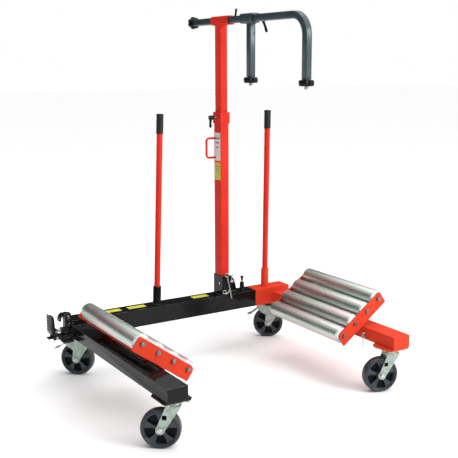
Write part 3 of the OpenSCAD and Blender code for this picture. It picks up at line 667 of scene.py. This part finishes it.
def label(name, mats, x, y, z, w, h, flat=False):
    """Blank film label with a paler panel and three plain bars, facing -X, or lying on a top face."""
    part = Part(*mats)
    part.add(block(-w / 2, w / 2, -0.25, 0.35, -h / 2, h / 2, 0.2, 1))
    part.add(block(-w / 2 + 2.5, w / 2 - 2.5, -0.55, 0.0, -h / 2 + 2.5, h / 2 - 2.5, 0.1, 1), 1)
    for i in range(3):
        t = h / 2 - 8 - h * 0.16 * (i + 1)
        part.add(block(-w / 2 + 6, w / 2 - 6 - 5 * i, -0.75, -0.4, t, t + h * 0.05, 0.05, 1), 2)
    # It is drawn facing -Y
    face = turn("X", -90) if flat else turn("Z", -90)
    part.bm.transform(shift(x, y, z) @ face)
    part.make(name, "frame", "black_plastic")


mast_face = MAST_X - MAST_W / 2 - 0.2
label("mast_label_upper", (WHITE, WHITE, GREY), mast_face, MAST_Y - 1, 982.0, 48.0, 130.0)
label("mast_label_lower", (AMBER, YELLOW, GREY), mast_face, MAST_Y - 1, 868.0, 48.0, 82.0)
for i, (x, w) in enumerate(((-365.0, 78.0), (-247.0, 86.0), (86.0, 84.0))):
    label(f"tube_label_{i + 1}", (AMBER, YELLOW, AMBER), x, 4.0, TUBE_TOP + 0.2, w, 36.0, flat=True)

# ---------- support bar, arms, clamps ----------

def support_bar():
    """Square tube along Y that bends down at its front end."""
    part = Part(BAR)
    angles = [math.radians(90 * i / 20) for i in range(21)]
    bend_y, bend_z = ARM_Y + BEND_R, BAR_Z - BEND_R
    bend = [(MAST_X, bend_y - BEND_R * math.sin(a), bend_z + BEND_R * math.cos(a)) for a in angles]
    back = [(MAST_X, BAR_BACK - 0.5, BAR_Z), (MAST_X, BAR_BACK - 1.2, BAR_Z)]
    end = [(MAST_X, ARM_Y, BAR_END + 1.2), (MAST_X, ARM_Y, BAR_END + 0.5)]
    part.add(square_tube(back + bend + end, BAR_W, BAR_CORNER))
    part.make("support_bar_tube", "bar", "bar_paint", ("support_bar",))


def short_arm():
    """Sleeve round the support bar with a square tube welded under it and a boss for the clamp screw."""
    part = Part(BAR)
    part.add(square_sleeve(SHORT_FRONT, SHORT_BACK, SHORT_W, BAR_W + 0.6, BAR_CORNER))
    top = BAR_Z - SHORT_W / 2 + 2
    heights = (top, top - 1, SHORT_END + 1.2, SHORT_END + 0.5)
    part.add(square_tube([(MAST_X, SHORT_Y, z) for z in heights], BAR_W, BAR_CORNER))
    corners = rounded_square(BAR_W + 1, BAR_CORNER)
    bead(part, [(MAST_X + u, SHORT_Y + v, top - 2) for u, v in corners], 2.4, closed=True)
    boss = [(6.5, -4), (11, -4), (11, 5), (10, 6), (6.5, 6)]
    part.add(lathe(boss, 32), matrix=shift(MAST_X + SHORT_W / 2, ARM_CLAMP_Y, BAR_Z) @ ALONG_X)
    part.make("short_arm_tube", "arm", "bar_paint", ("short_arm",))


support_bar()
short_arm()


def star_knob(part, r, h, lobes, matrix):
    """Moulded lobed knob with a dished face, standing on z = 0."""
    dish = r * 0.55
    rim = [(0.0, 0.0), (r * 0.80, 0.0), (r * 0.94, h * 0.07), (r, h * 0.22), (r, h * 0.74),
           (r * 0.95, h * 0.90), (r * 0.84, h * 0.99), (dish, h), (dish * 0.9, h * 0.90),
           (r * 0.26, h * 0.88), (r * 0.22, h), (0.0, h)]
    part.add(lathe(rim, lobes * 12, lobes, r * 0.12, r * 0.7), 0, matrix)


def bar_end_knob():
    """Star knob on the rear end of the support bar, with its screw's end."""
    part = Part(KNOB, BOLT)
    star_knob(part, 29.0, 25.0, 7, shift(MAST_X, BAR_BACK + 0.6, BAR_Z) @ ALONG_Y)
    screw = lathe([(0, 20), (6.5, 20), (6.5, 25.4), (5.5, 26), (0, 26)], 24)
    part.add(screw, 1, shift(MAST_X, BAR_BACK, BAR_Z) @ ALONG_Y)
    part.make("bar_end_star_knob", "bar_end_knob", "black_plastic", ("bar_knob",))


def foot(node, body, y, top):
    """Screw foot: lobed wheel, collar and threaded tip."""
    part = Part(KNOB, BOLT)
    star_knob(part, 31.0, 25.0, 8, shift(MAST_X, y, top - 0.5) @ turn("X", 180))
    at_tip = shift(MAST_X, y, top - 26)
    part.add(lathe([(0, -11.8), (6, -11.8), (8, -10), (8, 1), (0, 1)], 28), 1, at_tip)
    turns, r, rise = 5, 8.2, 8.0
    angles = [math.pi * i / 8 for i in range(16 * turns + 1)]
    thread = [(r * math.cos(a), r * math.sin(a), -10 + rise * a / (2 * math.pi * turns)) for a in angles]
    part.add(sweep(thread, 0.5, 6), 1, at_tip)
    part.add(lathe([(0, 0), (12.5, 0), (12.5, 2.2), (0, 2.2)], 32), 1, shift(MAST_X, y, top - 1.7))
    part.make(node + "_screw", body, "black_plastic", (node,))


def clamp_handle(node, body, y, z, stud, reach, angle, side):
    """Moulded clamping lever: hub, bent tapering arm with a bulbous tip, zinc screw.

    side is -1 or 1 along X; the angle is the arm's own, from straight up towards -Y.
    """
    part = Part(KNOB, BOLT)
    hub = [(0, stud - 4), (6.5, stud - 4), (7.5, stud), (9.6, stud + 2), (10, stud + 9), (10, stud + 19),
           (9, stud + 22.5), (5, stud + 23.6), (4.4, stud + 21), (0, stud + 21)]
    part.add(lathe(hub, 36))
    part.add(lathe([(0, stud + 20), (3.8, stud + 20), (3.8, stud + 23), (0, stud + 23.4)], 6), 1)
    c = stud + 14
    spine = [(0, 0, c), (0, 7, c), (0, reach * 0.34, c + 1.5), (0, reach * 0.62, c + 2.6),
             (0, reach * 0.84, c + 2.0), (0, reach * 0.96, c + 1.4), (0, reach, c + 1.2)]
    part.add(sweep(spine, [8.5, 8.0, 5.6, 5.2, 6.3, 5.6, 3.2], 20, flat=0.86))
    part.add(lathe([(0, 12), (5.4, 12), (5.4, stud + 1), (0, stud + 1)], 24), 1)
    out = turn("Y", 90 * side)
    aim = turn("X", 90 + angle)
    part.bm.transform(shift(MAST_X, y, z) @ aim @ out)
    part.make(node + "_handle", body, "black_plastic", (node,))


bar_end_knob()
foot("bar_cup", "bar_foot", ARM_Y, BAR_END)
foot("arm_cup", "arm_foot", SHORT_Y, SHORT_END)
clamp_handle("mast_clamp", "mast_lock", MAST_Y, MAST_CLAMP_Z, 43.0, 46.0, 180.0, -1)
clamp_handle("bar_clamp", "bar_lock", BAR_CLAMP_Y, BAR_Z, 29.0, 54.0, 15.0, 1)
clamp_handle("arm_clamp", "arm_lock", ARM_CLAMP_Y, BAR_Z, 28.5, 68.0, 151.0, 1)


# ---------- poles, grips, index plunger ----------

def push_pole(side):
    """Leaning pole with a ribbed grip over its top end."""
    x, lean = POLES[side]
    refine(f"pole_{side}", 0.5, RED, "orange_paint")
    length = (POLE_TOP - TUBE_TOP) / math.cos(math.radians(lean))
    z = length - GRIP_LEN
    inside = POLE_R + 0.4
    profile = [(0, length - 3), (inside, length - 3), (inside, z), (15.2, z), (GRIP_R, z + 1.4),
               (GRIP_R, z + 4.5), (15.4, z + 6)]
    ribs = 9
    step = (GRIP_LEN - 22) / ribs
    for i in range(ribs):
        base = z + 8 + i * step
        profile += [(15.3, base), (15.9, base + 0.8), (16.1, base + step * 0.4), (15.9, base + step - 2.0),
                    (15.3, base + step - 1.2)]
    profile += [(15.8, length - 12), (16.4, length - 10.5), (16.3, length - 5), (14.8, length - 1.6),
                (11, length - 0.3), (0, length)]
    part = Part(GRIP)
    part.add(lathe(profile, 56), matrix=shift(x, 0, TUBE_TOP) @ turn("Y", lean))
    part.make(f"grip_{side}_ribbed", NODES[f"grip_{side}"]["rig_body"], "grip_rubber", (f"grip_{side}",))


def index_plunger():
    """Hexagon nut and grooved body, and the pull pin through it with its knob."""
    at = shift(PLUNGER_X, PLUNGER_Y, TUBE_TOP)
    bore = 4.6
    body = Part(KNOB, BLACK)
    nut = lathe([(bore, 0), (13.4, 0), (13.4, 7), (12.6, 7.8), (bore, 7.8)], 6)
    body.add(bevelled(nut, 0.4, 1), 1, at)
    flutes = [(bore, 7.6), (10.6, 7.6), (11, 8.4), (11, 13), (10.2, 14), (10.2, 16), (11, 17), (11, 38),
              (10, 40), (8.2, 44.5), (6.8, 46), (bore, 46)]
    body.add(lathe(flutes, 48), 0, at)
    body.make("plunger_body_turned", NODES["plunger_body"]["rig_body"], "black_plastic", ("plunger_body",))
    pull = Part(KNOB, BOLT)
    pull.add(lathe([(0, -4), (3, -4), (4, -2), (4, 53), (0, 53)], 24), 1, at)
    pull.add(lathe([(0, 52), (6, 52), (6, 55.4), (5, 56), (4.4, 62), (0, 62)], 36), 0, at)
    star_knob(pull, 8.0, 12.0, 6, at @ shift(0, 0, 62))
    pull.make("plunger_pull_knob", "plunger", "black_plastic", ("plunger_pin",))


push_pole("left")
push_pole("right")
index_plunger()

# ---------- pins, rings, chain ----------

def ring(part, x, y, z, big, small, angle=0.0):
    """Closed wire ring in the YZ plane, turned about Z by an angle."""
    angles = [2 * math.pi * i / 36 for i in range(36)]
    pts = [(0, big * math.cos(a), big * math.sin(a)) for a in angles]
    part.add(sweep(pts, small, 10, True), 0, shift(x, y, z) @ turn("Z", angle))


def clip(part, x, y, z, wire, long):
    """R-clip: a straight leg, a round eye and a waved leg, in the YZ plane, the eye at the top."""
    eye = 8.0
    straight = [(0, eye * 0.55, -long)] + [(0, eye * 0.55, -long + (long - 8) * k / 6) for k in range(1, 7)]
    angles = [math.radians(40 + 280 * k / 24) for k in range(25)]
    loop = [(0, eye * math.sin(a), -eye * math.cos(a)) for a in angles]
    waved = [(0, -1.5, -12), (0, 1.0, -20), (0, -4.5, -30), (0, -1.0, -40), (0, -5.5, -long + 2)]
    part.add(sweep(straight + loop + waved, wire, 10), 0, shift(x, y, z))


def mast_hitch():
    """Headed pin across the mast socket, with a pull ring in its head."""
    part = Part(BOLT)
    at = shift(MAST_X, PIN_Y, PIN_Z) @ ALONG_X
    part.add(lathe([(0, -23.5), (5, -23.5), (5, 46.5), (0, 46.5)], 28), matrix=at)
    part.add(lathe([(0, 46), (7.4, 46), (8, 46.8), (8, 50.2), (7.4, 51), (0, 51)], 32), matrix=at)
    ring(part, MAST_X + 52, PIN_Y, PIN_Z + 13, 15, 2.0)
    part.make("mast_pin_and_rings", NODES["mast_pin"]["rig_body"], "zinc", ("mast_pin",))


def leg_hitch():
    """Headed pin across the right leg, with a clip hanging from its point."""
    part = Part(BOLT)
    at = shift(LEG_X, LEG_PIN_Y, LEG_PIN_Z) @ ALONG_X
    half = LEG_W / 2
    shank = [(0, -half - 12), (3.6, -half - 12), (5, -half - 9), (5, half + 2), (0, half + 2)]
    part.add(lathe(shank, 28), matrix=at)
    head = [(0, half + 1), (8.4, half + 1), (9, half + 1.8), (9, half + 5.2), (8.4, half + 6), (0, half + 6)]
    part.add(lathe(head, 32), matrix=at)
    clip(part, LEG_X - half - 8, LEG_PIN_Y, LEG_PIN_Z - 17, 1.5, 45)
    part.make("leg_pin_and_clip", NODES["leg_pin"]["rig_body"], "zinc", ("leg_pin",))


def chain(name, start, end, sag, pitch, wire):
    """Hanging chain on the frame: each oval link is turned a quarter from the last."""
    a, b = Vector(start), Vector(end)
    n = max(4, round((b - a).length * 1.04 / pitch))
    pts = [a.lerp(b, k / n) - Vector((0, 0, sag * 4 * (k / n) * (1 - k / n))) for k in range(n + 1)]
    wide, tall = 1.15 * pitch * 0.28, pitch * 0.5 + wire
    angles = [2 * math.pi * i / 20 for i in range(20)]
    link = [(wide * math.cos(t), 0, tall * math.sin(t)) for t in angles]
    part = Part(BOLT)
    for k, (p, q) in enumerate(zip(pts, pts[1:])):
        along = (q - p).normalized().to_track_quat("Z", "Y").to_matrix().to_4x4()
        place = Matrix.Translation((p + q) / 2) @ along @ turn("Z", 90 * (k % 2))
        part.add(sweep(link, wire, 8, True), 0, place)
    part.make(name, "frame", "zinc")


def keeper_chain():
    """The mast pin's chain and its rings, hanging in front of the socket."""
    y = -TUBE_HALF - 4
    rings = Part(BOLT)
    ring(rings, MAST_X - 1, y, SOCKET_TOP + 4, 9, 1.5, 60)
    ring(rings, MAST_X - 15, y, 293, 8, 1.5, 75)
    rings.make("pin_chain_rings", "frame", "zinc")
    chain("pin_chain_long", (MAST_X + 1, y, SOCKET_TOP - 6), (MAST_X + 25, y, 256), 0.0, 9.0, 1.1)
    chain("pin_chain_short", (MAST_X - 12, y, 286), (MAST_X + 14, y, 300), 8.0, 8.0, 1.1)


mast_hitch()
leg_hitch()
keeper_chain()

# ---------- foot pump ----------

def pin_head(part, r, h, x, y, z, matrix):
    """Low round head with a chamfered edge, standing on its own z = 0."""
    edge = 0.8
    head = lathe([(0, 0), (r, 0), (r, h - edge), (r - edge, h), (0, h)], 24)
    part.add(head, 1, shift(x, y, z) @ matrix)


def pump_part(part, node, name):
    """Finishes a piece of the pump that replaces its CAD node."""
    part.make(name, NODES[node]["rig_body"], "black_paint", (node,), FLAT_SHARP)


def pump_bracket():
    """Bracket bolted to the leg's outer face, with the pedal's pin and a weld under it."""
    plate = -LEG_X - LEG_W / 2 - BRACKET_T
    part = refined("pump_bracket", 0.8, PUMP, BOLT)
    for y in (PUMP_Y + 24, PUMP_Y + 54):
        for z in (FRAME_Z + 18, TUBE_TOP - 12):
            hex_bolt(part, plate, y, z, 14.0, 6.4, turn("Y", -90), 1)
    for k in (-1, 1):
        end = lathe([(0, 0), (5.4, 0), (6, 0.8), (6, 2.4), (5.4, 3), (0, 3)], 28)
        part.add(end, 1, shift(PEDAL_X, PUMP_Y + k * 26.0, PEDAL_Z) @ turn("X", -90 * k))
    under = FRAME_Z - 7
    bead(part, [(plate - 1, PUMP_Y - 23, under), (plate - 1, PUMP_Y + 23, under)], 2.4)
    pump_part(part, "pump_bracket", "pump_bracket_welded")


def pump_block():
    """Pump block with two screw plugs, the release lever's pin and the gland of the piston."""
    part = refined("pump_block", 0.8, PUMP, BOLT)
    plug = [(0, 0), (6.6, 0), (6.6, 2.6), (5.8, 3.6), (3.2, 3.6), (2.8, 2.4), (0, 2.4)]
    for z in (LEVER_Z - 14, LEVER_Z - 38):
        part.add(lathe(plug, 32), 1, shift(PUMP_X + 6, PUMP_Y - 13, z) @ turn("X", 90))
    for k in (-1, 1):
        pin_head(part, 4.2, 3.8, PUMP_X, PUMP_Y + k * 13.6, LEVER_Z, turn("X", -90 * k))
    gland = [(8.8, 0), (13, 0), (13, 4), (12, 5), (8.8, 5)]
    part.add(lathe(gland, 36), 0, shift(PUMP_X - 30, PUMP_Y, PEDAL_Z + EYE_Z) @ turn("Y", 90))
    pump_part(part, "pump_block", "pump_block_fitted")


def foot_pedal():
    """Ribbed pedal with the heads of the piston's pin."""
    part = refined("foot_pedal", 0.8, PUMP, BOLT)
    for k in (-1, 1):
        pin_head(part, 4.6, 2.4, PEDAL_X, PUMP_Y + k * 16.0, PEDAL_Z + EYE_Z, turn("X", -90 * k))
    pump_part(part, "foot_pedal", "foot_pedal_ribbed")


pump_bracket()
pump_block()
foot_pedal()
refine("release_lever", 0.0, PUMP, "black_paint")
refine("pump_piston", 0.6, BOLT, "zinc")

# ---------- rollers, axles, casters ----------

def roller(node):
    """Tube with rounded ends, as large as its CAD node."""
    c, size = centre_mm(node), size_mm(node)
    r, half = size.x / 2, size.y / 2
    bore = r - 4
    end = [(bore, half - 1), (bore + 0.9, half), (r - 1.0, half), (r - 0.3, half - 0.3), (r, half - 1.2)]
    part = Part(ROLLER)
    part.add(lathe(mirrored(end), 96), matrix=shift(*c) @ ALONG_Y)
    part.make(node + "_turned", NODES[node]["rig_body"], "roller_zinc", (node,))


def axle_bolts(side):
    """Four bolts through the rollers of one cradle, with a head in front and a nut at the back."""
    node = f"roller_axles_{side}"
    lo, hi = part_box(node)
    front, back = (lo.y - DATUM.y) / MM, (hi.y - DATUM.y) / MM
    long = back - front
    shank = [(0, 9), (5.2, 9), (6, 9.8), (6, long - 0.8), (5.2, long), (0, long)]
    part = Part(AXLE)
    for i in range(1, 5):
        c = centre_mm(f"roller_{side[0]}{i}")
        hex_bolt(part, c.x, front + 9, c.z, 16.4, 8.7, turn("X", 90) @ turn("Z", 13 * i))
        part.add(lathe(shank, 24), matrix=shift(c.x, front, c.z) @ ALONG_Y)
        hex_bolt(part, c.x, back - 12, c.z, 16.4, 9, turn("X", -90) @ turn("Z", 17 * i))
    part.make(node + "_hex", NODES[node]["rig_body"], "zinc", (node,))


def mirrored(half):
    """Profile that is the same above and below z = 0, made from its upper half."""
    return [(x, -z) for x, z in half] + [(x, z) for x, z in reversed(half)]


def at_wheel(corner):
    """Place of a caster's wheel axis, with Z along it."""
    x, y = CASTERS[corner]
    return shift(x, y, 0) @ turn("Z", SWIVELS[corner]) @ shift(-TRAIL, 0, WHEEL_R) @ turn("X", 90)


def spoke(angle, z0, z1):
    """Spoke that flares into the rim, its side a curve."""
    n = 8
    side = [(16 + 43 * k / n, 5.6 + 10.5 * (k / n) ** 2.2) for k in range(n + 1)]
    outline = [(x, -w) for x, w in side] + [(x, w) for x, w in reversed(side)]
    bm = prism(outline, z0, z1, 1.2, 2)
    bm.transform(turn("Z", angle))
    return bm


def wheel(corner):
    """Moulded wheel: tread, rim, a thin recessed web painted near black as shade, hub and five spokes on each
    side.
    """
    node = f"caster_wheel_{corner}"
    part = Part(TYRE, RIM, RECESS_PAINTED_SHADE)
    h = WHEEL_HALF
    tread = [(62.5, h - 6), (63.4, h - 1.4), (65.0, h), (69.5, h - 0.3), (72.4, h - 2.0), (74.2, h - 5.6),
             (WHEEL_R, h - 10.5)]
    part.add(lathe(mirrored(tread), 96))
    lip = [(56.5, 3), (58.5, h - 8), (59.8, h - 4.6), (61.2, h - 3.4), (63, h - 3.4), (63, h - 5.4)]
    part.add(lathe(mirrored(lip), 80), 1)
    # The web is painted near black, as shade in the recess between the spokes
    part.add(lathe([(15, -2.5), (58, -2.5), (58, 2.5), (15, 2.5)], 64), 2)
    hub = [(AXLE_R + 0.6, h + 1.6), (13.5, h + 1.6), (14.5, h + 0.8), (18.2, h - 2), (19, h - 6), (21, 2)]
    part.add(lathe(mirrored(hub), 56), 1)
    for k in range(5):
        for z0, z1 in ((2.2, h - 7.5), (7.5 - h, -2.2)):
            part.add(spoke(72 * k + 20, z0, z1), 1)
    part.bm.transform(at_wheel(corner))
    part.make(node + "_moulded", NODES[node]["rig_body"], "wheel_plastic", (node,), 34.0)


def axle(corner):
    """Wheel bolt with a head and a nut outside the fork."""
    node = f"caster_axle_{corner}"
    part = Part(BOLT)
    reach = FORK_OUT + 9
    hex_bolt(part, 0, 0, FORK_OUT, 17.0, 7.8)
    hex_bolt(part, 0, 0, -FORK_OUT, 17.0, 7.8, turn("X", 180))
    low = -reach + 1
    shank = [(0, low), (5, low), (AXLE_R, low + 1), (AXLE_R, reach - 1), (5, reach), (0, reach)]
    part.add(lathe(shank, 24))
    part.bm.transform(at_wheel(corner))
    part.make(node + "_hex", NODES[node]["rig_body"], "zinc", (node,))


for corner in CASTERS:
    wheel(corner)
    axle(corner)
    refine(f"caster_fork_{corner}", 0.0, ZINC, "zinc")
for side in ("left", "right"):
    axle_bolts(side)
    refine(f"brake_{side}", 0.9, ZINC, "zinc")
    for i in range(1, 5):
        roller(f"roller_{side[0]}{i}")


# ---------- surroundings ----------

def area(name, at, target, size, power):
    """White rectangular light that looks at its target."""
    light = bpy.data.lights.new(name, "AREA")
    light.shape = "RECTANGLE"
    light.size, light.size_y = size
    light.energy = power
    obj = bpy.data.objects.new(name, light)
    bpy.context.scene.collection.objects.link(obj)
    obj.location = at
    obj.rotation_euler = (Vector(target) - Vector(at)).to_track_quat("-Z", "Y").to_euler()


def make_world():
    """Pale sky that lights more from above and from the right; the camera sees plain white."""
    world = bpy.data.worlds.new("studio")
    bpy.context.scene.world = world
    world.use_nodes = True
    tree = world.node_tree
    tree.nodes.clear()
    out = tree.nodes.new("ShaderNodeOutputWorld")
    coords = tree.nodes.new("ShaderNodeTexCoord")
    split = tree.nodes.new("ShaderNodeSeparateXYZ")
    tree.links.new(coords.outputs["Generated"], split.inputs[0])
    ramp = tree.nodes.new("ShaderNodeValToRGB")
    stops = ((0.0, 0.03), (0.44, 0.05), (0.60, 1.25), (1.0, 1.75))
    while len(ramp.color_ramp.elements) < len(stops):
        ramp.color_ramp.elements.new(0.5)
    for e, (at, v) in zip(ramp.color_ramp.elements, stops):
        e.position = at
        e.color = (v, v, v, 1)
    tree.links.new(split.outputs["Z"], ramp.inputs["Fac"])
    lit = tree.nodes.new("ShaderNodeBackground")
    tree.links.new(ramp.outputs["Color"], lit.inputs["Color"])
    toward = tree.nodes.new("ShaderNodeVectorMath")
    toward.operation = "DOT_PRODUCT"
    toward.inputs[1].default_value = (0.75, -0.66, 0.0)
    tree.links.new(coords.outputs["Generated"], toward.inputs[0])
    side = tree.nodes.new("ShaderNodeMapRange")
    for key, value in zip(("From Min", "From Max", "To Min", "To Max"), (-0.8, 0.8, 0.5, 1.5)):
        side.inputs[key].default_value = value
    tree.links.new(toward.outputs["Value"], side.inputs["Value"])
    tree.links.new(side.outputs["Result"], lit.inputs["Strength"])
    seen = tree.nodes.new("ShaderNodeBackground")
    seen.inputs["Color"].default_value = (1.0, 1.0, 1.0, 1)
    path = tree.nodes.new("ShaderNodeLightPath")
    mix = tree.nodes.new("ShaderNodeMixShader")
    tree.links.new(path.outputs["Is Camera Ray"], mix.inputs["Fac"])
    tree.links.new(lit.outputs[0], mix.inputs[1])
    tree.links.new(seen.outputs[0], mix.inputs[2])
    tree.links.new(mix.outputs[0], out.inputs["Surface"])


def make_floor():
    """Pale matt floor, 80 m wide, that is not part of the dolly."""
    bm = bmesh.new()
    half = 40.0
    corners = ((-half, -half, 0), (half, -half, 0), (half, half, 0), (-half, half, 0))
    bm.faces.new([bm.verts.new(p) for p in corners])
    mesh = bpy.data.meshes.new("floor")
    bm.to_mesh(mesh)
    bm.free()
    n = Nodes("floor")
    pale = n.ramp(n.noise(3.0, 3.0), (0.3, (0.90, 0.90, 0.90)), (0.7, (0.92, 0.92, 0.92)))
    n.link(pale, n.shader.inputs["Base Color"])
    n.put(Roughness=0.95, Specular_IOR_Level=0.1)
    mesh.materials.append(n.mat)
    obj = bpy.data.objects.new("floor", mesh)
    bpy.context.scene.collection.objects.link(obj)


make_world()
make_floor()
area("key", (3.4, -5.2, 3.0), (0, -0.3, 0.6), (3.4, 2.6), 320)
area("fill", (-4.2, -4.4, 2.2), (0, -0.3, 0.6), (3.0, 2.4), 12)
area("top", (0.4, 0.6, 4.2), (0, 0, 0.6), (2.6, 2.6), 40)
bpy.context.scene.view_settings.view_transform = "Standard"
